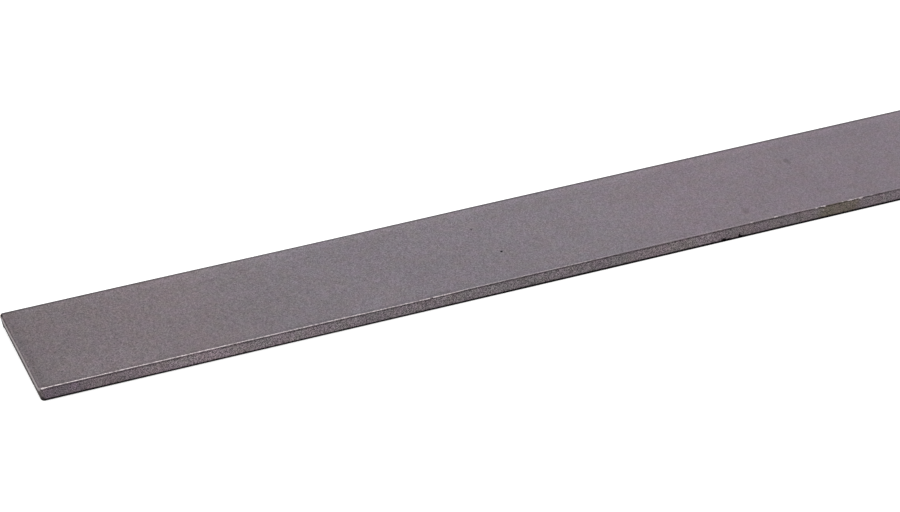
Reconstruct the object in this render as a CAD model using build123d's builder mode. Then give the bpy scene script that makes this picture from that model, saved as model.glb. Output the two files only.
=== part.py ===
"""Hot-rolled mild steel flat bar, 25 x 3 mm, cropped to a stock length of 1 m.

The bar lies flat along X. The origin is at the centre of its underside, with X along the length, Y across
the width and Z up through the thickness. All sizes are in millimetres.
"""

import os

from build123d import *

# Rolled section
bar_length = 1000.0
bar_width = 25.0
bar_thickness = 3.0
edge_radius = 0.3  # the rolls leave each long corner slightly rounded

# Ends cropped in a shear. Where the blade enters, the corner is drawn down in a small roll. Below it
# the blade rubs an upright land, and the rest of the thickness breaks away on a slant.
rollover_reach = 0.35  # length of top face that is drawn down
rollover_depth = 0.2  # how far it has sunk at the cut
land_height = 0.5
blade_clearance = 0.42  # gap between the blades, by which the break leans back
end_corner_radius = 0.5  # upright corners of the cut, blunted by the blades

# A shear leaves the two ends of a length unlike each other. The left end lay on the fixed blade, so its
# upper corner is rolled. The right end was pushed off by the moving blade, so its lower corner is.
# Each plane starts at the rolled corner, with its x into the bar and its y out of the rolled face.
left_cut = Plane(origin=(-bar_length / 2, 0, bar_thickness), x_dir=(1, 0, 0), z_dir=(0, -1, 0))
right_cut = Plane(origin=(bar_length / 2, 0, 0), x_dir=(-1, 0, 0), z_dir=(0, -1, 0))

with BuildPart() as flat_bar:
    with BuildSketch(Plane.YZ.offset(-bar_length / 2)) as rolled_section:
        with Locations((0, bar_thickness / 2)):
            RectangleRounded(bar_width, bar_thickness, edge_radius)
    extrude(amount=bar_length)

    with BuildSketch(Plane.XY) as plan_view:
        RectangleRounded(bar_length, bar_width, end_corner_radius)
    extrude(amount=bar_thickness, mode=Mode.INTERSECT)

    land_foot = rollover_depth + land_height
    scrap_reach = rollover_reach + blade_clearance
    with BuildSketch(left_cut, right_cut) as sheared_off:
        with BuildLine():
            roll = TangentArc((rollover_reach, 0), (0, -rollover_depth), tangent=(-1, 0))
            Polyline(
                roll @ 1,
                (0, -land_foot),
                (blade_clearance, -bar_thickness),
                (-scrap_reach, -bar_thickness),
                (-scrap_reach, 0),
                roll @ 0,
            )
        make_face()
    extrude(amount=bar_width, both=True, mode=Mode.SUBTRACT)

flat_bar.part.label = "flat_bar"
os.makedirs("parts", exist_ok=True)
export_step(flat_bar.part, "parts/flat_bar.step")
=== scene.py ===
"""Dresses a packed steel flat bar: a finely meshed skin with sheared ends, its mill scale, a plain stage.

The file is laid out as a Blender add-on, and is run as a script. All lengths are in metres, in the frame of
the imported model: X along the bar, Y across it and Z up, with the bar's underside at zero.
"""

import math

import bmesh
import bpy
from bpy.props import FloatProperty, FloatVectorProperty, PointerProperty
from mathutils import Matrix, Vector, noise


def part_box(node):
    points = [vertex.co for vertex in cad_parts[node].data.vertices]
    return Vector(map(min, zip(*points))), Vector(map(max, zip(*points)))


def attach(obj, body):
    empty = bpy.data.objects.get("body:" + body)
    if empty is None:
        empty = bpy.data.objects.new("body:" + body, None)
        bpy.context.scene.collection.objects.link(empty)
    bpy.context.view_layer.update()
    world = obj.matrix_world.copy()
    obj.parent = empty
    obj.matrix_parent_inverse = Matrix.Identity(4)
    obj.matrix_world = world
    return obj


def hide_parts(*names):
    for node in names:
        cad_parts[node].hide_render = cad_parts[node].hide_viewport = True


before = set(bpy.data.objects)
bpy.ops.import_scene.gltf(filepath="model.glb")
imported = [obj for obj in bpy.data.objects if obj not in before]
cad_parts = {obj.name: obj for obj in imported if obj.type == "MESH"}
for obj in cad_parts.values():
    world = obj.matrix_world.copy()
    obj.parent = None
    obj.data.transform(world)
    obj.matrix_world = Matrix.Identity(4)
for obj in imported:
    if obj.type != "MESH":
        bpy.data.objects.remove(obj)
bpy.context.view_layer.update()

bl_info = {
    "name": "Steel Flat Bar",
    "version": (1, 0, 0),
    "blender": (4, 5, 0),
    "location": "3D View > Sidebar > Flat Bar",
    "description": "Builds a hot-rolled flat bar with sheared ends, its mill-scale finish and a plain stage",
    "category": "Add Mesh",
}

MM = 0.001
BAR_LOW, BAR_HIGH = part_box("flat_bar")
BAR_LENGTH, BAR_WIDTH, BAR_THICKNESS = BAR_HIGH - BAR_LOW


def linear(red, green, blue):
    """A colour as it is seen on a screen, from 0 to 255, as the linear colour that a shader takes."""
    return tuple(
        (c / 255 / 12.92) if c <= 10 else ((c / 255 + 0.055) / 1.055) ** 2.4
        for c in (red, green, blue)
    )


def length(name, description, millimetres):
    return FloatProperty(
        name=name, description=description, default=millimetres * MM, min=0.0, precision=5, unit="LENGTH"
    )


def colour(name, description, red, green, blue):
    return FloatVectorProperty(
        name=name,
        description=description,
        default=linear(red, green, blue),
        min=0.0,
        max=1.0,
        size=3,
        subtype="COLOR",
    )


def share(name, description, default, high=1.0):
    return FloatProperty(name=name, description=description, default=default, min=0.0, max=high)


class FlatBarShape(bpy.types.PropertyGroup):
    """Sizes of the rolled section and of the two sheared ends"""

    edge_radius: length("Corner radius", "Radius that the rolls leave on each long corner", 0.3)
    rollover_reach: length("Roll reach", "Length of face that the blade draws down at a cut", 0.35)
    rollover_depth: length("Roll depth", "How far the drawn-down corner sinks at a cut", 0.2)
    land_height: length("Land height", "Height of the upright land that the blade rubs smooth", 0.5)
    land_unevenness: length("Land unevenness", "How much the foot of the land wanders", 0.12)
    blade_clearance: length("Break lean", "How far the broken part of the cut leans back", 0.42)
    break_roughness: length("Break roughness", "Depth of the broken part's grain", 0.05)
    front_corner_radius: length("Front corner radius", "Radius of a cut's upright corner at the front", 0.65)
    front_torn_radius: length("Front torn radius", "Radius of that corner where the break ends", 1.0)
    back_corner_radius: length("Back corner radius", "Radius of a cut's upright corner at the back", 0.75)
    back_torn_radius: length("Back torn radius", "Radius of that corner where the break ends", 0.35)
    left_cut_bow: length("Left cut bow", "How far the left cut lies behind its upper back corner", 0.2)
    surface_wave: length("Surface wave", "Depth of the long shallow hollows that rolling leaves", 0.012)
    edge_wave: length("Edge wave", "How far the narrow edges wander inwards along the bar", 0.02)
    keener_radius: length("Keener corner radius", "Front lower corner's radius further along", 0.08)


class FlatBarFinish(bpy.types.PropertyGroup):
    """Colours and grain of the mill scale, the worn corners and the cuts"""

    scale_colour: colour("Scale", "Mill scale on the wide faces", 130.9, 120.6, 130.6)
    # Coarser scale on the narrow edges, darker partly as painted shade for the less light that reaches them
    edge_scale_and_shade_colour: colour("Edge scale", "Darker, coarser scale on the narrow edges", 120, 110.3, 116.4)
    brown_tint: colour("Brown tint", "Brown cast of the scale in patches", 255, 252, 242)
    cut_tint: colour("Cut tint", "Brown cast of the scale near the cuts", 254.2, 255, 248)
    pink_tint: colour("Pink tint", "Pink cast of the scale in patches", 255, 249, 253)
    green_tint: colour("Green tint", "Green cast of the scale between the pink patches", 248, 253, 248)
    grey_tint: colour("Grey tint", "Grey-green cast of a long stretch of the wide face", 249, 255, 252)
    # Steel rubbed bright on the corners; on the front upper corner it also paints a highlight
    worn_and_highlight_colour: colour("Worn steel", "Steel rubbed bright along the corners", 211, 200, 203)
    land_colour: colour("Land", "Steel smeared by the shear blade", 156, 147, 149)
    # Torn steel, darkened partly with painted shade for the break, which leans back under the land
    break_and_shade_colour: colour("Break", "Torn steel in the broken part of a cut", 76, 68, 68)
    # Dark specks and pits, and also the painted shade in the nicks and at two corners of the left cut
    speck_and_shade_colour: colour("Speck", "Dark specks and pits in the scale", 16, 12, 14)
    stain_tint: colour("Stain", "Yellowish stain that darkens the front edge", 231, 231, 206)
    purple_tint: colour("Purple tint", "Purple cast of the front edge at its left end", 251, 245.5, 255)
    grain_size: length("Grain size", "Size of the grain in the scale", 0.21)
    face_contrast: share("Face grain", "Strength of the grain on the wide faces", 0.58)
    edge_contrast: share("Edge grain", "Strength of the grain on the narrow edges", 1.48, 3.0)


class FlatBarStage(bpy.types.PropertyGroup):
    """Camera, lamps and floor"""

    lens: FloatProperty(name="Lens", description="Focal length", default=141.56, min=1.0, unit="CAMERA")
    heading: FloatProperty(
        name="Heading",
        description="Camera's turn from straight across the bar towards its right end",
        default=math.radians(21.962),
        subtype="ANGLE",
    )
    pitch: FloatProperty(
        name="Pitch",
        description="How far the camera looks down",
        default=math.radians(34.822),
        subtype="ANGLE",
    )
    camera_from_corner: FloatVectorProperty(
        name="Camera place",
        description="Camera, measured from the bar's lower front corner at the left end",
        default=(-0.11994, -0.49324, 0.38126),
        size=3,
        subtype="TRANSLATION",
    )
    floor_size: length("Floor size", "Side of the square floor", 24000.0)
    floor_colour: colour("Floor", "Pale floor under the bar", 252, 252, 252)
    floor_lift: share("Floor lift", "Added whiteness of the floor as the camera sees it", 0.45)
    world_light: share("World light", "Light that comes evenly from all round", 0.55, 2.0)
    softbox_power: FloatProperty(
        name="Softbox", description="Power of the overhead softbox", default=78.0, min=0.0, unit="POWER"
    )
    softbox_height: length("Softbox height", "Height of the softbox over the floor", 3000.0)
    softbox_front: length("Softbox front", "How far in front of the bar the softbox hangs", 800.0)
    softbox_left: length("Softbox left", "How far left of the bar's middle the softbox hangs", 1500.0)
    softbox_size: length("Softbox size", "Side of the square softbox", 5000.0)


# The bar's skin. A place on it is given by how far along it is from the left end, how far across from the
# middle, and how high over the underside.

CORNER_STEPS = 5  # faces round each long corner
EDGE_STEPS = 12  # faces up each narrow edge, between its corners
FACE_STEPS = 48  # faces across each wide face, between the closer columns beside its corners
CORNER_COLUMNS = tuple(s * MM for s in (0.06, 0.14, 0.25, 0.4, 0.65))  # how far in from a corner they lie
CUT_RINGS = tuple(s * MM for s in (0, 0.07, 0.16, 0.28, 0.45, 0.7, 1.0, 1.4, 1.9, 2.5, 3.2))
RING_PITCH = 2.0 * MM
NICK_PITCH = 0.12 * MM
SHARP_ANGLE = math.radians(35)

# Sizes of the shallow waves that rolling leaves, and of the unevenness of a cut
FACE_WAVE_LENGTH, FACE_WAVE_WIDTH = 9 * MM, 4 * MM
EDGE_WAVE_LENGTH = 45 * MM
RIPPLE_LENGTH, RIPPLE_HEIGHT = 8 * MM, 1.5 * MM
LAND_WAVE_LENGTH = 2.5 * MM
TORN_GRAIN = 0.5 * MM
LAND_EDGE_BLUR = 0.1 * MM

KEENER_FROM, KEENER_TO = 45 * MM, 115 * MM  # where the front lower corner's radius falls

MAP_NAME = "OFBake"
MAP_STRIPS = 4  # the skin is laid on its map in so many equal lengths, one over another
MAP_GAP = 0.8 * MM
MAP_SIZE = BAR_LENGTH / MAP_STRIPS + 2 * MAP_GAP
SKIN_GIRTH = 2 * (BAR_WIDTH + BAR_THICKNESS)

SKIN, UNDERSIDE, CUT = 0, 1, 2  # the bar's material slots


class Nick:
    """A dent in a narrow edge: where along the bar, half its length, its depth, and its foot and top."""

    def __init__(self, along, reach, depth, foot, top):
        self.along, self.reach, self.depth, self.foot, self.top = (
            v * MM for v in (along, reach, depth, foot, top)
        )

    def bite(self, along, height):
        off = abs(along - self.along) / self.reach
        if off >= 1:
            return 0.0
        middle = mixed(self.foot, self.top, 0.4)
        upright = ease(height, self.foot, middle) * (1 - ease(height, middle, self.top))
        return self.depth * (1 - off**2) ** 2 * upright


NICKS = (Nick(along=138.3, reach=0.35, depth=0.14, foot=0.1, top=1.1),)
BACK_HOLLOW = Nick(along=62.0, reach=38.0, depth=0.12, foot=-100.0, top=150.0)


def mixed(first, second, share):
    return first + (second - first) * share


def ease(value, low, high):
    """0 below low and 1 above high, with a smooth rise between them."""
    t = min(max((value - low) / (high - low), 0.0), 1.0)
    return t * t * (3 - 2 * t)


def wander(x, y=0.0, z=0.0):
    """Smooth noise from 0 to 1."""
    return min(max(0.5 + 0.5 * noise.noise(Vector((x, y, z))), 0.0), 1.0)


class Section:
    """The rolled section as a grid of columns across and rows up, whose outer points make its outline."""

    def __init__(self, shape):
        radius = shape.edge_radius
        close = [1 - inset / (BAR_WIDTH / 2) for inset in CORNER_COLUMNS]
        middle = [close[-1] * (2 * k / FACE_STEPS - 1) for k in range(FACE_STEPS + 1)]
        self.columns = [-1, *(-c for c in close[:-1]), *middle, *reversed(close[:-1]), 1]
        turns = [math.pi / 2 * k / CORNER_STEPS for k in range(CORNER_STEPS + 1)]
        corner = [(radius * (1 - math.sin(a)), radius * (1 - math.cos(a))) for a in turns]
        upright = BAR_THICKNESS - 2 * radius
        edge = [(0.0, radius + upright * k / EDGE_STEPS) for k in range(1, EDGE_STEPS)]
        self.rows = corner + edge + [(inset, BAR_THICKNESS - height) for inset, height in reversed(corner)]

    def point(self, column, row):
        inset, height = self.rows[row]
        return self.columns[column] * (BAR_WIDTH / 2 - inset), height

    def outline(self):
        """(column, row) of each outer point: back along the underside, up, forward over the top and down."""
        back, top = len(self.columns) - 1, len(self.rows) - 1
        underside = [(c, 0) for c in range(back)]
        back_edge = [(back, r) for r in range(top)]
        upper_face = [(c, top) for c in range(back, 0, -1)]
        front_edge = [(0, r) for r in range(top, 0, -1)]
        return underside + back_edge + upper_face + front_edge


def cut_setback(shape, across, depth, seed):
    """How far a cut lies behind the bar's end, at a depth below its rolled corner."""
    reach, sunk = shape.rollover_reach, shape.rollover_depth
    radius = (reach**2 + sunk**2) / (2 * sunk)
    front = shape.front_corner_radius, shape.front_torn_radius
    back = shape.back_corner_radius, shape.back_torn_radius
    upright_radius = mixed(*(front if across < 0 else back), depth / BAR_THICKNESS)
    blunt = corner_setback(upright_radius, BAR_WIDTH / 2 - abs(across))
    if depth <= sunk:
        return reach - math.sqrt(max(radius**2 - (radius - depth) ** 2, 0.0)) + blunt
    fallen = max(depth - land_foot(shape, across, seed), 0.0) / (BAR_THICKNESS - sunk - shape.land_height)
    grain = wander(across / TORN_GRAIN, depth / TORN_GRAIN, seed)
    torn = shape.break_roughness * grain * ease(fallen, 0, 0.2)
    return shape.blade_clearance * fallen + torn + blunt


def left_cut_bow(shape, across, depth):
    """How far the left cut lies behind its back corner, to which the shear didn't cut quite square."""
    fallen = depth / BAR_THICKNESS
    upper, lower = ease(across, 0, 7 * MM), ease(across, 11.3 * MM, 12.4 * MM)
    return shape.left_cut_bow * (1 - 0.55 * mixed(upper, lower, fallen))


def corner_setback(radius, inset):
    """How far an upright corner of that radius lies behind the end, at an inset from the bar's edge."""
    if inset >= radius:
        return 0.0
    return radius - math.sqrt(max(radius**2 - (radius - inset) ** 2, 0.0))


def land_foot(shape, across, seed):
    """Depth at which the land that the blade rubbed ends and the break starts."""
    uneven = shape.land_unevenness * (wander(across / LAND_WAVE_LENGTH, seed) - 0.5)
    return shape.rollover_depth + shape.land_height + uneven


def cut_zone(shape, across, depth, seed):
    """0 on the rolled skin, 1 on the land and 2 on the break, with a narrow rise between them."""
    foot = land_foot(shape, across, seed)
    past_roll = ease(depth, 0.3 * shape.rollover_depth, 0.7 * shape.rollover_depth)
    return past_roll + ease(depth, foot - LAND_EDGE_BLUR, foot + LAND_EDGE_BLUR)


def relief(shape, along, across, height):
    """(inwards, down) from the true section, for the shallow unevenness of the rolled skin and its nicks."""
    near_face = min(height, BAR_THICKNESS - height)
    face_share = 1 - ease(near_face, 0, shape.edge_radius)
    upper = height > BAR_THICKNESS / 2
    wave = wander(along / FACE_WAVE_LENGTH, across / FACE_WAVE_WIDTH, 2 if upper else 7)
    hollow = shape.surface_wave * wave * face_share
    side = 1 if across > 0 else 2
    off_middle = ease(abs(across), 0, BAR_WIDTH / 2)
    drift = shape.edge_wave * wander(along / EDGE_WAVE_LENGTH, side, 11) * off_middle
    wave = wander(along / RIPPLE_LENGTH, height / RIPPLE_HEIGHT, 3 * side)
    ripple = shape.surface_wave * wave * (1 - face_share)
    at_side = ease(abs(across), BAR_WIDTH / 2 - 2 * shape.edge_radius, BAR_WIDTH / 2)
    dents = NICKS if across < 0 else (BACK_HOLLOW,)
    bites = sum(dent.bite(along, height) for dent in dents) * at_side
    return drift + ripple + bites, hollow if upper else -hollow


def stations():
    """Distances along the bar at which its outline is repeated, closer at the cuts and at the nicks."""
    spans = [(CUT_RINGS[-1], RING_PITCH)]
    for nick in NICKS:
        spans += [(nick.along - 1.1 * nick.reach, NICK_PITCH), (nick.along + 1.1 * nick.reach, RING_PITCH)]
    spans += [(BAR_LENGTH * k / MAP_STRIPS, RING_PITCH) for k in range(1, MAP_STRIPS)]
    spans.append((BAR_LENGTH - CUT_RINGS[-1], RING_PITCH))
    places = list(CUT_RINGS[:-1])
    for (start, pitch), (end, _) in zip(spans, spans[1:]):
        steps = max(round((end - start) / pitch), 1)
        places += [start + (end - start) * k / steps for k in range(steps)]
    return places + [BAR_LENGTH - s for s in reversed(CUT_RINGS)]


class BarMesh:
    """The whole bar as one closed skin: rings of points joined along it, and a grid over each cut."""

    def __init__(self, shape):
        self.shape = shape
        self.section = Section(shape)
        self.outline = self.section.outline()
        self.bm = bmesh.new()
        self.map = self.bm.loops.layers.uv.new(MAP_NAME)
        self.zone = self.bm.verts.layers.float.new("cut_zone")
        places = stations()
        rings = [[self.vertex(c, r, along) for c, r in self.outline] for along in places]
        self.join_rings(rings, places)
        self.close_cut(rings[0], 0.0, shelf=0)
        self.close_cut(rings[-1], BAR_LENGTH, shelf=1)
        bmesh.ops.recalc_face_normals(self.bm, faces=self.bm.faces)
        for edge in self.bm.edges:
            edge.smooth = edge.calc_face_angle(0.0) < SHARP_ANGLE

    def vertex(self, column, row, along):
        across, height = self.section.point(column, row)
        if column == 0 and row < CORNER_STEPS:
            keenness = 1 - self.shape.keener_radius / self.shape.edge_radius
            left = 1 - keenness * ease(along, KEENER_FROM, KEENER_TO)
            across, height = mixed(-BAR_WIDTH / 2, across, left), height * left
        x, zone = along, 0.0
        for gap, depth, inwards, seed in (
            (along, BAR_THICKNESS - height, 1, 1),
            (BAR_LENGTH - along, height, -1, 2),
        ):
            if gap < CUT_RINGS[-1]:
                fade = (1 - gap / CUT_RINGS[-1]) ** 2
                bow = left_cut_bow(self.shape, across, depth) if inwards > 0 else 0.0
                x += inwards * (cut_setback(self.shape, across, depth, seed) + bow) * fade
            if gap == 0:
                zone = cut_zone(self.shape, across, depth, seed)
        inwards, down = relief(self.shape, x, across, height)
        across -= math.copysign(min(inwards, abs(across)), across)
        middle = (BAR_LOW.y + BAR_HIGH.y) / 2
        vertex = self.bm.verts.new((BAR_LOW.x + x, middle + across, BAR_LOW.z + height - down))
        vertex[self.zone] = zone
        return vertex

    def face(self, corners, map_places, material):
        face = self.bm.faces.new(corners)
        face.smooth = True
        face.material_index = material
        for loop, (across_map, up_map) in zip(face.loops, map_places):
            loop[self.map].uv = across_map / MAP_SIZE, up_map / MAP_SIZE

    def join_rings(self, rings, places):
        points = [Vector(self.section.point(c, r)) for c, r in self.outline]
        rounds = [0.0]
        for here, after in zip(points, points[1:] + points[:1]):
            rounds.append(rounds[-1] + (after - here).length)
        strip_length = BAR_LENGTH / MAP_STRIPS
        count = len(self.outline)
        for first, second, start, end in zip(rings, rings[1:], places, places[1:]):
            strip = int((start + end) / 2 / strip_length)
            left, right = (MAP_GAP + s - strip * strip_length for s in (start, end))
            foot = MAP_GAP + strip * (SKIN_GIRTH + MAP_GAP)
            for k in range(count):
                after = (k + 1) % count
                low, high = foot + rounds[k], foot + rounds[k + 1]
                self.face(
                    (first[k], second[k], second[after], first[after]),
                    ((left, low), (right, low), (right, high), (left, high)),
                    self.skin_slot(self.outline[k], self.outline[after]),
                )

    def skin_slot(self, *spots):
        """The material of the skin between two (column, row) points of the outline."""
        return UNDERSIDE if all(row <= CORNER_STEPS for _, row in spots) else SKIN

    def close_cut(self, ring, along, shelf):
        """A grid of faces over a cut, on the outline's points and new ones inside it."""
        points = dict(zip(self.outline, ring))
        columns, rows = len(self.section.columns), len(self.section.rows)
        for column in range(1, columns - 1):
            for row in range(1, rows - 1):
                points[column, row] = self.vertex(column, row, along)
        foot = MAP_GAP + MAP_STRIPS * (SKIN_GIRTH + MAP_GAP) + shelf * (BAR_THICKNESS + MAP_GAP)

        def on_map(spot):
            across, height = self.section.point(*spot)
            return MAP_GAP + BAR_WIDTH / 2 + across, foot + height

        for column in range(columns - 1):
            for row in range(rows - 1):
                spots = ((column, row), (column + 1, row), (column + 1, row + 1), (column, row + 1))
                self.face([points[s] for s in spots], [on_map(s) for s in spots], CUT)


# Short ways to make nodes

COLOUR_MIX_FACTOR, COLOUR_MIX_A, COLOUR_MIX_B, COLOUR_MIX_RESULT = 0, 6, 7, 2


class Graph:
    """Adds and joins the nodes of one material, world or node group."""

    def __init__(self, tree):
        self.tree = tree
        tree.nodes.clear()

    def add(self, kind, inputs=None, **settings):
        node = self.tree.nodes.new(kind)
        for name, value in settings.items():
            setattr(node, name, value)
        for socket, value in (inputs or {}).items():
            self.join(value, node.inputs[socket])
        return node

    def join(self, value, socket):
        if isinstance(value, bpy.types.NodeSocket):
            self.tree.links.new(value, socket)
        elif socket.type == "RGBA" and len(value) == 3:
            socket.default_value = (*value, 1.0)
        else:
            socket.default_value = value

    def math(self, operation, *values):
        return self.add("ShaderNodeMath", dict(enumerate(values)), operation=operation).outputs[0]

    def times(self, first, second):
        return self.math("MULTIPLY", first, second)

    def ramp(self, value, low, high, to_low=0.0, to_high=1.0):
        """Eases from to_low to to_high as the value goes from low to high."""
        inputs = {"Value": value, "From Min": low, "From Max": high, "To Min": to_low, "To Max": to_high}
        return self.add("ShaderNodeMapRange", inputs, interpolation_type="SMOOTHSTEP").outputs["Result"]

    def mix(self, share, first, second, blend="MIX"):
        inputs = {COLOUR_MIX_FACTOR: share, COLOUR_MIX_A: first, COLOUR_MIX_B: second}
        node = self.add("ShaderNodeMix", inputs, data_type="RGBA", blend_type=blend)
        return node.outputs[COLOUR_MIX_RESULT]

    def tinted(self, share, colour, tint):
        return self.mix(share, colour, tint, blend="MULTIPLY")

    def lit(self, colour, lightness):
        """The colour, that many times as light."""
        return self.add("ShaderNodeHueSaturation", {"Color": colour, "Value": lightness}).outputs[0]

    def noise(self, place, size, detail=2.0, seed=0.0, roughness=0.5):
        """Noise about 0.5 whose lumps are of that size."""
        inputs = {"Vector": place, "W": seed, "Detail": detail, "Roughness": roughness}
        varies = isinstance(size, bpy.types.NodeSocket)
        inputs["Scale"] = self.math("DIVIDE", 1.0, size) if varies else 1 / size
        return self.add("ShaderNodeTexNoise", inputs, noise_dimensions="4D").outputs[0]

    def object_place(self):
        return self.add("ShaderNodeTexCoord").outputs["Object"]

    def split(self, vector):
        return self.add("ShaderNodeSeparateXYZ", {"Vector": vector}).outputs

    def group(self, tree, inputs=None):
        return self.add("ShaderNodeGroup", inputs, node_tree=tree).outputs


FLOAT, COLOUR, VECTOR = "NodeSocketFloat", "NodeSocketColor", "NodeSocketVector"


def new_group(name, inputs, outputs):
    """An empty node group with those sockets, the graph to fill it and the values that it is given."""
    tree = bpy.data.node_groups.new(name, "ShaderNodeTree")
    for label, kind, value in inputs:
        socket = tree.interface.new_socket(name=label, in_out="INPUT", socket_type=kind)
        if value is not None:
            socket.default_value = value
    for label, kind in outputs:
        tree.interface.new_socket(name=label, in_out="OUTPUT", socket_type=kind)
    graph = Graph(tree)
    return tree, graph, graph.add("NodeGroupInput").outputs


# Node groups


PLACES = ("Corner Turn", "Edge Share", "Face Gap", "Side Gap", "Cut Gap", "Front Share", "Upper Share")


def bar_places_group():
    """Where on the bar a point lies, from which the other groups take their bands."""
    tree, g, given = new_group(
        "Bar Places",
        [("Length", FLOAT, BAR_LENGTH), ("Width", FLOAT, BAR_WIDTH), ("Thickness", FLOAT, BAR_THICKNESS)],
        [(name, FLOAT) for name in PLACES],
    )
    along, across, height = g.split(g.object_place())
    half_length, half_width, half_height = (g.math("DIVIDE", given[k], 2.0) for k in range(3))
    from_middle = g.math("ABSOLUTE", g.math("SUBTRACT", height, half_height))
    _, out_across, out_up = g.split(g.add("ShaderNodeTexCoord").outputs["Normal"])
    turn = g.math("ARCTAN2", g.math("ABSOLUTE", out_across), g.math("ABSOLUTE", out_up))
    turn = g.math("DIVIDE", turn, math.pi / 2)  # 0 on a wide face, 1 on a narrow edge
    g.add(
        "NodeGroupOutput",
        {
            "Corner Turn": turn,
            "Edge Share": g.ramp(turn, 0.3, 0.7),
            "Face Gap": g.math("SUBTRACT", half_height, from_middle),
            "Side Gap": g.math("SUBTRACT", half_width, g.math("ABSOLUTE", across)),
            "Cut Gap": g.math("SUBTRACT", half_length, g.math("ABSOLUTE", along)),
            "Front Share": g.math("LESS_THAN", across, 0.0),
            "Upper Share": g.math("GREATER_THAN", height, half_height),
        },
    )
    return tree


def mill_scale_group():
    """Grey-purple oxide from rolling: fine grain with brown, pink and green casts, darker near the cuts."""
    tree, g, given = new_group(
        "Mill Scale",
        [
            ("Face Colour", COLOUR, None),
            ("Edge Colour", COLOUR, None),
            ("Brown Tint", COLOUR, None),
            ("Cut Tint", COLOUR, None),
            ("Pink Tint", COLOUR, None),
            ("Green Tint", COLOUR, None),
            ("Edge Share", FLOAT, 0.0),
            ("Cut Gap", FLOAT, 1.0),
            ("Grain Size", FLOAT, 0.2 * MM),
            ("Face Grain", FLOAT, 0.3),
            ("Edge Grain", FLOAT, 0.7),
        ],
        [("Colour", COLOUR), ("Roughness", FLOAT), ("Height", FLOAT)],
    )
    place = g.object_place()
    # The narrow edges take the edge colour, whose darkness is partly painted shade
    plain = g.mix(given["Edge Share"], given["Face Colour"], given["Edge Colour"])

    edge_share = given["Edge Share"]
    near_cut = g.ramp(given["Cut Gap"], 28 * MM, 62 * MM, 1.0, 0.0)
    near_cut = g.times(near_cut, g.math("MULTIPLY_ADD", edge_share, -0.9, 1.0))
    brown = g.ramp(g.noise(place, 3 * MM, detail=4, seed=1, roughness=0.6), 0.4, 0.65, 0.0, 0.6)
    green = g.ramp(g.noise(place, 2.6 * MM, detail=4, seed=3, roughness=0.6), 0.38, 0.62)
    tinted = g.tinted(brown, plain, given["Brown Tint"])
    tinted = g.tinted(near_cut, tinted, given["Cut Tint"])
    cast = g.math("MULTIPLY_ADD", edge_share, 0.35, 0.65)
    tinted = g.tinted(cast, tinted, g.mix(green, given["Pink Tint"], given["Green Tint"]))

    size = g.times(given["Grain Size"], g.math("MULTIPLY_ADD", edge_share, -0.2, 1.0))
    fine = g.noise(place, size, detail=1.5, seed=5)
    coarse = g.noise(place, g.times(size, 2.4), detail=1, seed=6)
    coarse_share = g.math("MULTIPLY_ADD", edge_share, -0.08, 0.08)
    grain = g.math("MULTIPLY_ADD", g.math("SUBTRACT", coarse, fine), coarse_share, fine)
    more = g.math("SUBTRACT", given["Edge Grain"], given["Face Grain"])
    strength = g.math("MULTIPLY_ADD", more, edge_share, given["Face Grain"])
    on_face = g.ramp(given["Cut Gap"], 15 * MM, 30 * MM, 1.13, 1.0)
    on_face = g.times(on_face, g.ramp(given["Cut Gap"], 55 * MM, 185 * MM, 1.0, 0.7))
    on_edge = g.ramp(given["Cut Gap"], 2 * MM, 45 * MM, 0.84, 1.02)
    on_edge = g.times(on_edge, g.ramp(given["Cut Gap"], 128 * MM, 150 * MM, 1.0, 0.83))
    on_edge = g.times(on_edge, edge_share)
    by_place = g.math("MULTIPLY_ADD", on_face, g.math("SUBTRACT", 1.0, edge_share), on_edge)
    strength = g.times(strength, by_place)
    swing = g.times(strength, 4.0)
    lightness = g.math("MULTIPLY_ADD", g.math("SUBTRACT", grain, 0.5), swing, 1.0)
    lightness = g.math("MAXIMUM", lightness, 0.1)
    drift = g.ramp(g.noise(place, 14 * MM, detail=2, seed=7), 0.3, 0.7, -0.04, 0.04)
    drift = g.math("MULTIPLY_ADD", drift, g.math("MULTIPLY_ADD", edge_share, -0.6, 1.0), 1.0)
    drift = g.times(drift, g.ramp(g.split(place)[1], -15 * MM, 15 * MM, 0.985, 1.015))
    # Darker towards each cut; the fall between 110 mm and 20 mm from a cut is painted shade
    darkest = g.math("MULTIPLY_ADD", edge_share, 0.12, 0.85)
    for start, end, least in ((0.6, 3.6, darkest), (2.5, 22, 0.882), (20, 110, 0.91)):
        drift = g.times(drift, g.ramp(given["Cut Gap"], start * MM, end * MM, least, 1.0))
    # A pale line beside each cut, and a line of painted shade on its rolled corner, uneven along it
    set_back = g.ramp(g.split(place)[1], 0.0, 7 * MM, 0.12 * MM, 0.0)
    from_cut = g.math("SUBTRACT", given["Cut Gap"], set_back)
    pale_line = g.ramp(from_cut, 0.24 * MM, 0.4 * MM, 0.0, 0.21)
    pale_line = g.times(pale_line, g.ramp(from_cut, 0.95 * MM, 0.6 * MM))
    roll_shade = g.ramp(g.noise(place, 0.5 * MM, detail=1, seed=17), 0.35, 0.65, 0.02, 0.26)
    roll_shade = g.times(roll_shade, g.ramp(from_cut, 0.45 * MM, 0.3 * MM))
    at_cut = g.times(g.math("SUBTRACT", pale_line, roll_shade), g.math("SUBTRACT", 1.0, edge_share))
    drift = g.times(drift, g.math("ADD", at_cut, 1.0))

    g.add(
        "NodeGroupOutput",
        {
            "Colour": g.lit(tinted, g.times(lightness, drift)),
            "Roughness": g.ramp(coarse, 0.2, 0.8, 0.5, 0.66),
            "Height": grain,
        },
    )
    return tree


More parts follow.
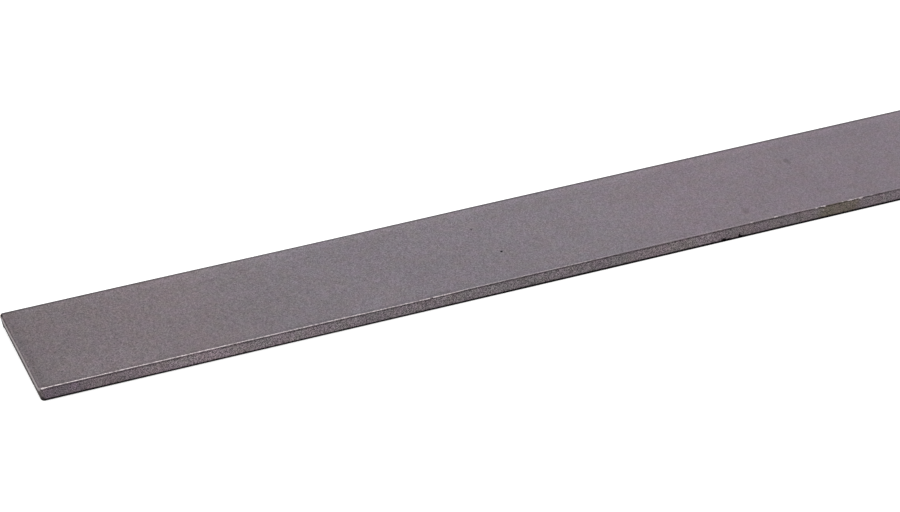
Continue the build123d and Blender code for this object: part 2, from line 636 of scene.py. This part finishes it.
def corner_wear_and_highlight_group():
    """A band round the long corners with the scale rubbed off, whole at a wear of 1 and broken below it.

    On the front upper corner the band is also a painted highlight.
    """
    tree, g, given = new_group(
        "Corner Wear And Highlight",
        [
            ("Corner Turn", FLOAT, 0.0),
            ("Middle", FLOAT, 0.48),
            ("Reach", FLOAT, 0.14),
            ("Wear", FLOAT, 0.5),
            ("Beading", FLOAT, 3.0),
        ],
        [("Mask", FLOAT)],
    )
    place = g.object_place()
    ragged = g.math("SUBTRACT", g.noise(place, 0.35 * MM, detail=2, seed=8), 0.5)
    turn = g.math("MULTIPLY_ADD", ragged, 0.12, given["Corner Turn"])
    away = g.math("ABSOLUTE", g.math("SUBTRACT", turn, given["Middle"]))
    beads = g.math("SUBTRACT", g.noise(place, 0.3 * MM, detail=1, seed=15), 0.5)
    away = g.math("MULTIPLY_ADD", beads, given["Beading"], g.math("DIVIDE", away, given["Reach"]))
    band = g.ramp(away, 1.3, 0.7)
    breaks = g.noise(place, 1.1 * MM, detail=3, seed=9)
    left = g.math("SUBTRACT", breaks, g.math("SUBTRACT", 1.0, given["Wear"]))
    band = g.times(band, g.ramp(left, -0.1, 0.1))
    brighter = g.math("MULTIPLY_ADD", beads, -1.6, 1.0)
    g.add("NodeGroupOutput", {"Mask": g.times(band, brighter)})
    return tree


def spot_group():
    """A mark of its own size at its own place, with a ragged outline."""
    tree, g, given = new_group(
        "Spot",
        [("Centre", VECTOR, None), ("Reach", VECTOR, None), ("Raggedness", FLOAT, 0.3)],
        [("Mask", FLOAT)],
    )
    place = g.object_place()
    offset = g.add("ShaderNodeVectorMath", {0: place, 1: given["Centre"]}, operation="SUBTRACT").outputs[0]
    shares = g.add("ShaderNodeVectorMath", {0: offset, 1: given["Reach"]}, operation="DIVIDE").outputs[0]
    away = g.add("ShaderNodeVectorMath", {0: shares}, operation="LENGTH").outputs["Value"]
    ragged = g.math("SUBTRACT", g.noise(place, 0.5 * MM, detail=2, seed=10), 0.5)
    edge = g.math("MULTIPLY_ADD", ragged, given["Raggedness"], away)
    g.add("NodeGroupOutput", {"Mask": g.ramp(edge, 1.15, 0.7)})
    return tree


# Materials


class Mark:
    """A spot by its centre and half sizes: along from the left end, across from the front, and up."""

    def __init__(self, centre, reach, strength, raggedness=0.5):
        self.centre = BAR_LOW + Vector(centre) * MM
        self.reach = Vector(reach) * MM
        self.strength = strength
        self.raggedness = raggedness


def edge_patch(along, reach, strength):
    """A Mark over the whole height of the front edge."""
    return Mark(centre=(along, 0.0, 1.5), reach=(reach, 1.0, 4.0), strength=strength)


def face_patch(along, across, half_length, half_width, strength):
    """A Mark on the upper face."""
    return Mark(centre=(along, across, 3.0), reach=(half_length, half_width, 1.0), strength=strength)


# Dark specks and pits in the scale, and painted shade in the nicks and at two corners of the left cut
SPECK_AND_SHADE_MARKS = (
    Mark(centre=(92.96, 8.9, 3.0), reach=(0.27, 0.26, 0.3), strength=1.0),
    Mark(centre=(90.45, 17.75, 3.0), reach=(0.18, 0.26, 0.3), strength=0.75),
    Mark(centre=(156.35, 16.6, 3.0), reach=(0.65, 1.1, 0.5), strength=0.27),
    Mark(centre=(141.35, 4.0, 3.0), reach=(0.62, 1.05, 0.5), strength=0.2),
    # Painted shadow in the nicks on the front lower corner
    Mark(centre=(134.95, 0.0, 0.1), reach=(0.68, 0.5, 0.84), strength=1.0, raggedness=0.2),
    Mark(centre=(136.0, 0.0, 0.1), reach=(0.8, 0.5, 0.52), strength=1.0, raggedness=0.2),
    Mark(centre=(138.25, 0.0, 0.5), reach=(0.28, 0.5, 0.66), strength=0.95),
    Mark(centre=(138.65, 0.0, 0.15), reach=(0.66, 0.5, 0.56), strength=0.95),
    # Painted shade on the left cut's upper back corner and at its lower front foot
    Mark(centre=(0.2, 24.1, 2.75), reach=(0.4, 0.42, 0.45), strength=1.0, raggedness=0.2),
    Mark(centre=(0.75, 0.1, 0.4), reach=(0.55, 0.5, 0.6), strength=0.85, raggedness=0.3),
)
# Bare steel and a painted highlight where the front upper corner meets the left cut
BARE_AND_HIGHLIGHT_MARKS = (Mark(centre=(0.94, 0.0, 2.88), reach=(0.42, 0.3, 0.17), strength=1.0, raggedness=0.2),)
STAINS = (Mark(centre=(159.3, 0.0, 1.5), reach=(4.65, 0.8, 3.5), strength=1.0, raggedness=0.6),)
PURPLE_PATCHES = (edge_patch(1.0, 10.0, strength=1.0),)
GREY_PATCHES = (Mark(centre=(80.0, 12.5, 3.0), reach=(44.0, 40.0, 40.0), strength=0.95),)
# Broad patches where the front edge and the upper face are lighter or, below zero, darker
EDGE_PATCHES = (
    edge_patch(5.0, 10.0, strength=0.055),
    edge_patch(9.0, 3.0, strength=0.14),
    edge_patch(13.5, 4.0, strength=0.1),
    edge_patch(31.5, 7.0, strength=0.12),
    edge_patch(33.5, 16.5, strength=0.32),
    edge_patch(54.8, 7.2, strength=0.25),
    edge_patch(78.5, 14.0, strength=0.1),
    edge_patch(102.0, 6.0, strength=0.06),
    edge_patch(124.5, 9.0, strength=0.14),
    edge_patch(146.0, 6.0, strength=-0.06),
    edge_patch(173.0, 7.0, strength=0.05),
)
FACE_PATCHES = (
    face_patch(5.0, 14.5, 6.5, 6.0, strength=-0.03),
    face_patch(8.0, 1.5, 5.0, 4.5, strength=0.055),
    face_patch(35.0, 23.5, 7.5, 3.5, strength=0.09),
    face_patch(32.0, 12.5, 14.0, 30.0, strength=-0.013),
    face_patch(58.0, 12.5, 8.0, 30.0, strength=0.02),
    face_patch(62.0, 12.5, 20.0, 30.0, strength=0.018),
    face_patch(97.0, 12.5, 10.0, 30.0, strength=0.02),
    face_patch(110.0, 12.5, 5.0, 30.0, strength=-0.013),
    face_patch(120.0, 12.5, 7.0, 30.0, strength=0.012),
    face_patch(130.0, 12.5, 7.0, 30.0, strength=-0.02),
    face_patch(168.0, 16.0, 14.0, 15.0, strength=-0.03),
    face_patch(147.0, 23.0, 16.0, 3.5, strength=-0.045),
)

# Changes along the bar from its left end: (start, end, change). The band of bare steel and painted
# highlight on the front upper corner is nearly whole at first and fades, and its middle moves round
# the corner.
BAND_START, BAND_MIDDLE_START = 0.95, 0.51
BAND_STRENGTHS = (
    (8, 14, -0.09),
    (28, 36, -0.13),
    (56, 64, 0.12),
    (78, 84, -0.51),
    (92, 97, 0.06),
    (106, 113, -0.22),
)
BAND_MIDDLES = ((55, 66, 0.17), (78, 84, -0.2), (108, 114, -0.2), (150, 154, 0.25))
# How much narrower the dark line of painted shade over the lower corners gets
UNDER_LINE_CHANGES = ((8, 14, 0.03 * MM), (20, 60, 0.035 * MM), (82, 98, -0.01 * MM))

# How dark the lines of painted shade beside the corners are, and how light the pale one is
SEAM_SHADE_DARK, RIM_DARK, BACK_RIM_DARK, UNDER_LINE_DARK = 0.485, 0.19, 0.52, 0.97
PALE_LINE_LIGHT = 0.1

# Flecks of bare steel and painted highlight further along: start, end and strength
WORN_AND_HIGHLIGHT_FLECKS = (
    (134.0, 134.4, 0.35),
    (136.1, 136.3, 0.4),
    (140.5, 140.9, 0.6),
    (145.6, 146.2, 0.75),
    (149.4, 149.6, 0.45),
    (154.3, 154.7, 0.55),
    (155.5, 156.3, 1.0),
    (159.9, 160.2, 0.5),
    (161.1, 162.4, 0.6),
    (162.7, 163.0, 0.75),
    (163.3, 164.4, 0.65),
    (166.1, 166.7, 0.45),
)


class Finish:
    """The groups and settings that the bar's materials share."""

    def __init__(self, settings):
        self.settings = settings
        self.places = bar_places_group()
        self.scale = mill_scale_group()
        self.wear_and_highlight = corner_wear_and_highlight_group()
        self.spot = spot_group()

    def marked(self, g, marks):
        """The strongest of those marks at each point."""
        most = 0.0
        for mark in marks:
            inputs = {"Centre": mark.centre, "Reach": mark.reach, "Raggedness": mark.raggedness}
            mask = g.group(self.spot, inputs)["Mask"]
            most = g.math("MAXIMUM", g.times(mask, mark.strength), most)
        return most

    def patched(self, g, marks):
        """Those marks added up at each point, with smooth outlines."""
        total = 0.0
        for mark in marks:
            inputs = {"Centre": mark.centre, "Reach": mark.reach, "Raggedness": 0.0}
            total = g.math("MULTIPLY_ADD", g.group(self.spot, inputs)["Mask"], mark.strength, total)
        return total

    def scaled(self, g, places):
        """The outputs of the mill scale, with this bar's colours and grain."""
        s = self.settings
        inputs = {
            "Face Colour": s.scale_colour,
            "Edge Colour": s.edge_scale_and_shade_colour,
            "Brown Tint": s.brown_tint,
            "Cut Tint": s.cut_tint,
            "Pink Tint": s.pink_tint,
            "Green Tint": s.green_tint,
            "Edge Share": places["Edge Share"],
            "Cut Gap": places["Cut Gap"],
            "Grain Size": s.grain_size,
            "Face Grain": s.face_contrast,
            "Edge Grain": s.edge_contrast,
        }
        return g.group(self.scale, inputs)


def new_material(name):
    material = bpy.data.materials.new(name)
    material.use_nodes = True
    return material, Graph(material.node_tree)


def steel_surface(g, colour, roughness, height, bump_depth, metallic, specular):
    bump = g.add("ShaderNodeBump", {"Height": height, "Strength": 1.0, "Distance": bump_depth})
    inputs = {"Base Color": colour, "Roughness": roughness, "Metallic": metallic, "Normal": bump.outputs[0]}
    inputs["Specular IOR Level"] = specular
    steel = g.add("ShaderNodeBsdfPrincipled", inputs)
    g.add("ShaderNodeOutputMaterial", {"Surface": steel.outputs[0]})


def changing(g, along, start, changes):
    """A value that starts at the bar's left end and changes over stretches of the bar."""
    value = start
    for begin, end, change in changes:
        low, high = BAR_LOW.x + begin * MM, BAR_LOW.x + end * MM
        value = g.math("ADD", value, g.ramp(along, low, high, 0.0, change))
    return value


def front_band(g, along):
    """Strength of the wear and painted highlight on the front upper corner, and the middle and reach of its
    band round it.
    """
    strength, flecks = changing(g, along, BAND_START, BAND_STRENGTHS), 0.0
    for start, end, worn_and_highlight in WORN_AND_HIGHLIGHT_FLECKS:
        low, high = BAR_LOW.x + start * MM, BAR_LOW.x + end * MM
        rise = g.ramp(along, low - 0.2 * MM, low + 0.1 * MM)
        fall = g.ramp(along, high + 0.2 * MM, high - 0.1 * MM)
        fleck = g.times(rise, fall)
        flecks = g.math("MAXIMUM", flecks, fleck)
        strength = g.math("MAXIMUM", strength, g.times(fleck, worn_and_highlight))
    middle = g.math("MULTIPLY_ADD", flecks, 0.12, changing(g, along, BAND_MIDDLE_START, BAND_MIDDLES))
    return strength, middle, g.math("MULTIPLY_ADD", flecks, 0.08, 0.14)


def corner_shade(g, places, along, bare):
    """How light the scale is beside the corners, with painted shade there, where the front upper one is
    rubbed bare that much.

    A dark line of painted shade runs below the upper corners, and a painted dark rim beside the bare one.
    The lower corners are darkened with painted shade, and so is the upper back one. A pale line runs inside
    the back ones.
    """
    face_gap, side_gap = places["Face Gap"], places["Side Gap"]
    upper, front = places["Upper Share"], places["Front Share"]
    back = g.math("SUBTRACT", 1.0, front)
    keener = g.ramp(along, BAR_LOW.x + 60 * MM, BAR_LOW.x + 115 * MM)
    seam_gap = g.math("MULTIPLY_ADD", keener, 0.06 * MM, face_gap)
    seam_shade = g.times(g.ramp(seam_gap, 0.13 * MM, 0.28 * MM), g.ramp(seam_gap, 0.65 * MM, 0.45 * MM))
    uneven = g.ramp(g.noise(g.object_place(), 1.2 * MM, detail=2, seed=16), 0.3, 0.7, 0.82, 1.16)
    seam_shade = g.times(g.times(seam_shade, places["Edge Share"]), uneven)
    at_face = g.ramp(face_gap, 0.55 * MM, 0.3 * MM)
    rim = g.times(g.ramp(side_gap, 1.0 * MM, 0.5 * MM, 0.0, at_face), front)
    rim = g.times(rim, bare)
    back_rim = g.times(g.ramp(side_gap, 0.9 * MM, 0.35 * MM, 0.0, at_face), back)
    back_rim = g.times(back_rim, g.ramp(side_gap, 0.0, 0.3 * MM, 0.6, 1.0))
    # Painted shade along the lower corners
    under_gap = changing(g, along, g.math("SUBTRACT", face_gap, 0.03 * MM), UNDER_LINE_CHANGES)
    under = g.times(g.ramp(under_gap, 0.63 * MM, 0.42 * MM), g.math("SUBTRACT", 1.0, upper))
    under = g.times(under, g.ramp(places["Corner Turn"], 0.05, 0.3))
    pale_line = g.ramp(side_gap, 0.7 * MM, 1.0 * MM)
    pale_line = g.times(pale_line, g.ramp(side_gap, 3.4 * MM, 1.2 * MM))

    dark = 0.0
    for mask, strength in ((seam_shade, SEAM_SHADE_DARK), (rim, RIM_DARK), (back_rim, BACK_RIM_DARK)):
        dark = g.math("MAXIMUM", dark, g.times(g.times(mask, upper), strength))
    dark = g.math("MAXIMUM", dark, g.times(under, UNDER_LINE_DARK))
    light = g.times(g.times(pale_line, back), PALE_LINE_LIGHT)
    return g.math("SUBTRACT", g.math("ADD", light, 1.0), dark)


def skin_material(finish, name, metallic, specular):
    """Mill scale with bright worn corners and a painted highlight on the front upper one, painted shade
    beside and under the corners and in the nicks, specks and a stain on the front edge.
    """
    material, g = new_material(name)
    s = finish.settings
    places = g.group(finish.places)
    scale = finish.scaled(g, places)
    place = g.object_place()
    along = g.split(place)[0]

    usual = g.ramp(g.noise(place, 40 * MM, detail=2, seed=12), 0.3, 0.7, 0.2, 0.4)
    worn_and_highlight = g.group(finish.wear_and_highlight, {"Corner Turn": places["Corner Turn"], "Wear": usual})["Mask"]
    # The front upper band is worn steel and a painted highlight
    strength, middle, reach = front_band(g, along)
    whole = g.ramp(strength, 0.17, 0.42, 0.6, 1.0)
    band = {"Corner Turn": places["Corner Turn"], "Middle": middle, "Reach": reach, "Wear": whole}
    front = g.group(finish.wear_and_highlight, band)["Mask"]
    at_front = g.times(places["Front Share"], places["Upper Share"])
    more = g.math("SUBTRACT", g.times(front, strength), worn_and_highlight)
    worn_and_highlight = g.math("MULTIPLY_ADD", more, at_front, worn_and_highlight)
    worn_and_highlight = g.math("MAXIMUM", worn_and_highlight, finish.marked(g, BARE_AND_HIGHLIGHT_MARKS))

    on_edge = places["Edge Share"]
    on_edge_patch, on_face_patch = finish.patched(g, EDGE_PATCHES), finish.patched(g, FACE_PATCHES)
    patch = g.math("MULTIPLY_ADD", g.math("SUBTRACT", on_edge_patch, on_face_patch), on_edge, on_face_patch)
    stain = g.times(finish.marked(g, STAINS), on_edge)
    # Specks, and painted shade in the nicks and at the left cut's corners
    dark = finish.marked(g, SPECK_AND_SHADE_MARKS)
    # Painted shade beside and under the corners
    shade = corner_shade(g, places, along, strength)
    lightness = g.times(g.math("ADD", patch, 1.0), shade)
    colour = g.lit(scale["Colour"], lightness)
    grey = g.times(finish.marked(g, GREY_PATCHES), g.math("MULTIPLY_ADD", on_edge, -0.5, 1.0))
    colour = g.tinted(grey, colour, s.grey_tint)
    # A pink cast where the narrow edges carry painted shade
    in_seam_shade = g.times(g.ramp(shade, 1.0, 0.6), on_edge)
    colour = g.tinted(in_seam_shade, colour, s.pink_tint)
    purple = g.times(finish.marked(g, PURPLE_PATCHES), on_edge)
    colour = g.tinted(purple, colour, s.purple_tint)
    colour = g.tinted(stain, colour, s.stain_tint)
    colour = g.mix(worn_and_highlight, colour, s.worn_and_highlight_colour)
    colour = g.mix(dark, colour, s.speck_and_shade_colour)

    roughness = g.times(scale["Roughness"], g.ramp(worn_and_highlight, 0.0, 1.0, 1.0, 0.7))
    roughness = g.math("MAXIMUM", roughness, g.ramp(shade, 1.0, 0.3))
    height = g.math("MULTIPLY_ADD", dark, -1.5, scale["Height"])
    metallic = g.ramp(dark, 0.3, 1.0, metallic, 1.0)
    steel_surface(g, colour, roughness, height, 0.012 * MM, metallic, specular)
    return material


def sheared_cut_material(finish):
    """A cut: scale drawn over its roll and its corners, a land smeared bright, and a dark torn break.

    Painted shade darkens the drawn scale at the corners and towards the back, and the break towards the
    back.
    """
    material, g = new_material("sheared_cut")
    s = finish.settings
    places = g.group(finish.places)
    scale = finish.scaled(g, places)
    place = g.object_place()
    along, across, _ = g.split(place)
    # Painted shade: beside the corners as on the skin, on the drawn scale towards the back, and at the
    # upright corners
    shade = corner_shade(g, places, along, 0.0)
    shade = g.times(shade, g.ramp(across, -2 * MM, 9 * MM, 1.0, 0.62))
    shade = g.times(shade, g.ramp(places["Side Gap"], 0.3 * MM, 1.5 * MM, 0.87, 1.0))
    drawn = g.lit(scale["Colour"], shade)

    zone = g.add("ShaderNodeAttribute", attribute_name="cut_zone").outputs["Fac"]
    past_corner = g.ramp(places["Side Gap"], 0.05 * MM, 0.3 * MM)
    on_land = g.times(g.ramp(zone, 0.2, 0.7), past_corner)
    on_break = g.times(g.ramp(zone, 1.3, 1.7), past_corner)

    stretch = g.add("ShaderNodeVectorMath", {0: place, 1: (1, 1, 0.12)}, operation="MULTIPLY").outputs[0]
    scores = g.noise(stretch, 0.12 * MM, detail=2, seed=13)
    land = g.lit(s.land_colour, g.ramp(scores, 0.2, 0.8, 0.75, 1.25))
    torn = g.noise(place, 0.28 * MM, detail=4, seed=14)
    lightness = g.ramp(torn, 0.2, 0.8, 0.5, 1.5)
    # Darker towards the back: painted shade on the leaning break
    lightness = g.times(lightness, g.ramp(across, -3 * MM, 6 * MM, 1.0, 0.42))
    colour = g.mix(on_land, drawn, land)
    colour = g.mix(on_break, colour, g.lit(s.break_and_shade_colour, lightness))
    colour = g.mix(finish.marked(g, BARE_AND_HIGHLIGHT_MARKS), colour, s.worn_and_highlight_colour)
    colour = g.mix(finish.marked(g, SPECK_AND_SHADE_MARKS), colour, s.speck_and_shade_colour)

    smooth = g.ramp(on_land, 0.0, 1.0, 0.55, 0.38)
    roughness = g.math("MULTIPLY_ADD", on_break, 0.35, smooth)
    height = g.math("MULTIPLY_ADD", g.times(torn, on_break), 3.0, scores)
    metallic = g.ramp(on_break, 0.0, 1.0, 0.6, 0.1)
    steel_surface(g, colour, roughness, height, 0.02 * MM, metallic, specular=0.2)
    return material


# Stage


def plain_mesh(name, bm, materials):
    mesh = bpy.data.meshes.new(name)
    bm.to_mesh(mesh)
    bm.free()
    for material in materials:
        mesh.materials.append(material)
    piece = bpy.data.objects.new(name, mesh)
    bpy.context.scene.collection.objects.link(piece)
    return piece


def lit_rays(g):
    """1 for the rays that show the backdrop: seen straight, in a reflection or through glass."""
    path = g.add("ShaderNodeLightPath").outputs
    seen = g.math("MAXIMUM", path["Is Camera Ray"], path["Is Glossy Ray"])
    return g.math("MAXIMUM", seen, path["Is Transmission Ray"])


def make_world(stage):
    world = bpy.data.worlds.new("studio")
    world.use_nodes = True
    bpy.context.scene.world = world
    g = Graph(world.node_tree)
    strength = g.ramp(lit_rays(g), 0.0, 1.0, stage.world_light, 1.0)
    light = g.add("ShaderNodeBackground", {"Color": (1, 1, 1), "Strength": strength})
    g.add("ShaderNodeOutputWorld", {"Surface": light.outputs[0]})


def make_floor(stage):
    material, g = new_material("pale_floor")
    lift = g.times(g.add("ShaderNodeLightPath").outputs["Is Camera Ray"], stage.floor_lift)
    inputs = {
        "Base Color": stage.floor_colour,
        "Roughness": 0.9,
        "Specular IOR Level": 0.0,
        "Emission Color": (1, 1, 1),
        "Emission Strength": lift,
    }
    paint = g.add("ShaderNodeBsdfPrincipled", inputs)
    g.add("ShaderNodeOutputMaterial", {"Surface": paint.outputs[0]})
    bm = bmesh.new()
    half = stage.floor_size / 2
    corners = ((-half, -half), (half, -half), (half, half), (-half, half))
    bm.faces.new([bm.verts.new((x, y, BAR_LOW.z)) for x, y in corners])
    plain_mesh("floor", bm, [material])


def make_softbox(stage):
    lamp = bpy.data.lights.new("softbox", "AREA")
    lamp.size = stage.softbox_size
    lamp.energy = stage.softbox_power
    box = bpy.data.objects.new("softbox", lamp)
    box.location = (-stage.softbox_left, -stage.softbox_front, stage.softbox_height)
    box.rotation_euler = (-box.location).to_track_quat("-Z", "Y").to_euler()
    box.visible_camera = False
    bpy.context.scene.collection.objects.link(box)


def make_camera(stage):
    camera = bpy.data.cameras.new("camera")
    camera.lens = stage.lens
    camera.clip_start, camera.clip_end = 0.01, 100
    eye = bpy.data.objects.new("camera", camera)
    eye.location = BAR_LOW + Vector(stage.camera_from_corner)
    eye.rotation_euler = (math.pi / 2 - stage.pitch, 0, -stage.heading)
    bpy.context.scene.collection.objects.link(eye)
    bpy.context.scene.camera = eye
    bpy.context.scene.view_settings.view_transform = "Standard"


# Operators and panel


class FLATBAR_OT_make_bar(bpy.types.Operator):
    """Make the flat bar: its skin, its two sheared cuts and their finish"""

    bl_idname = "flatbar.make_bar"
    bl_label = "Make Flat Bar"

    def execute(self, context):
        finish = Finish(context.scene.flat_bar_finish)
        skin = skin_material(finish, "rolled_skin", metallic=0.6, specular=0.5)
        # A shaded copy of the skin for the underside and the lower corners: no metal and little gloss, so
        # that they reflect less of the bright floor, as painted shade
        underside = skin_material(finish, "dull_shaded_underside", metallic=0.0, specular=0.1)
        materials = [skin, underside, sheared_cut_material(finish)]
        bar = plain_mesh("steel_flat_bar", BarMesh(context.scene.flat_bar_shape).bm, materials)
        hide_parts("flat_bar")
        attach(bar, "root")
        return {"FINISHED"}


class FLATBAR_OT_make_stage(bpy.types.Operator):
    """Make the plain stage: camera, world, floor and softbox"""

    bl_idname = "flatbar.make_stage"
    bl_label = "Make Stage"

    def execute(self, context):
        stage = context.scene.flat_bar_stage
        make_camera(stage)
        make_world(stage)
        make_floor(stage)
        make_softbox(stage)
        return {"FINISHED"}


class FLATBAR_PT_panel(bpy.types.Panel):
    """Sizes, colours and the two operators"""

    bl_idname = "FLATBAR_PT_panel"
    bl_label = "Flat Bar"
    bl_space_type = "VIEW_3D"
    bl_region_type = "UI"
    bl_category = "Flat Bar"

    def draw(self, context):
        for settings in PROPERTIES:
            group = getattr(context.scene, settings)
            box = self.layout.box()
            for name in group.bl_rna.properties.keys():
                if name not in ("rna_type", "name"):
                    box.prop(group, name)
        for operator in OPERATORS:
            self.layout.operator(operator.bl_idname)


PROPERTIES = {
    "flat_bar_shape": FlatBarShape,
    "flat_bar_finish": FlatBarFinish,
    "flat_bar_stage": FlatBarStage,
}
OPERATORS = (FLATBAR_OT_make_bar, FLATBAR_OT_make_stage)
CLASSES = (*PROPERTIES.values(), *OPERATORS, FLATBAR_PT_panel)


def register():
    for kind in CLASSES:
        bpy.utils.register_class(kind)
    for name, settings in PROPERTIES.items():
        setattr(bpy.types.Scene, name, PointerProperty(type=settings))


def unregister():
    for name in PROPERTIES:
        delattr(bpy.types.Scene, name)
    for kind in reversed(CLASSES):
        bpy.utils.unregister_class(kind)


def main():
    register()
    bpy.ops.flatbar.make_stage()
    bpy.ops.flatbar.make_bar()


if __name__ == "__main__":
    main()
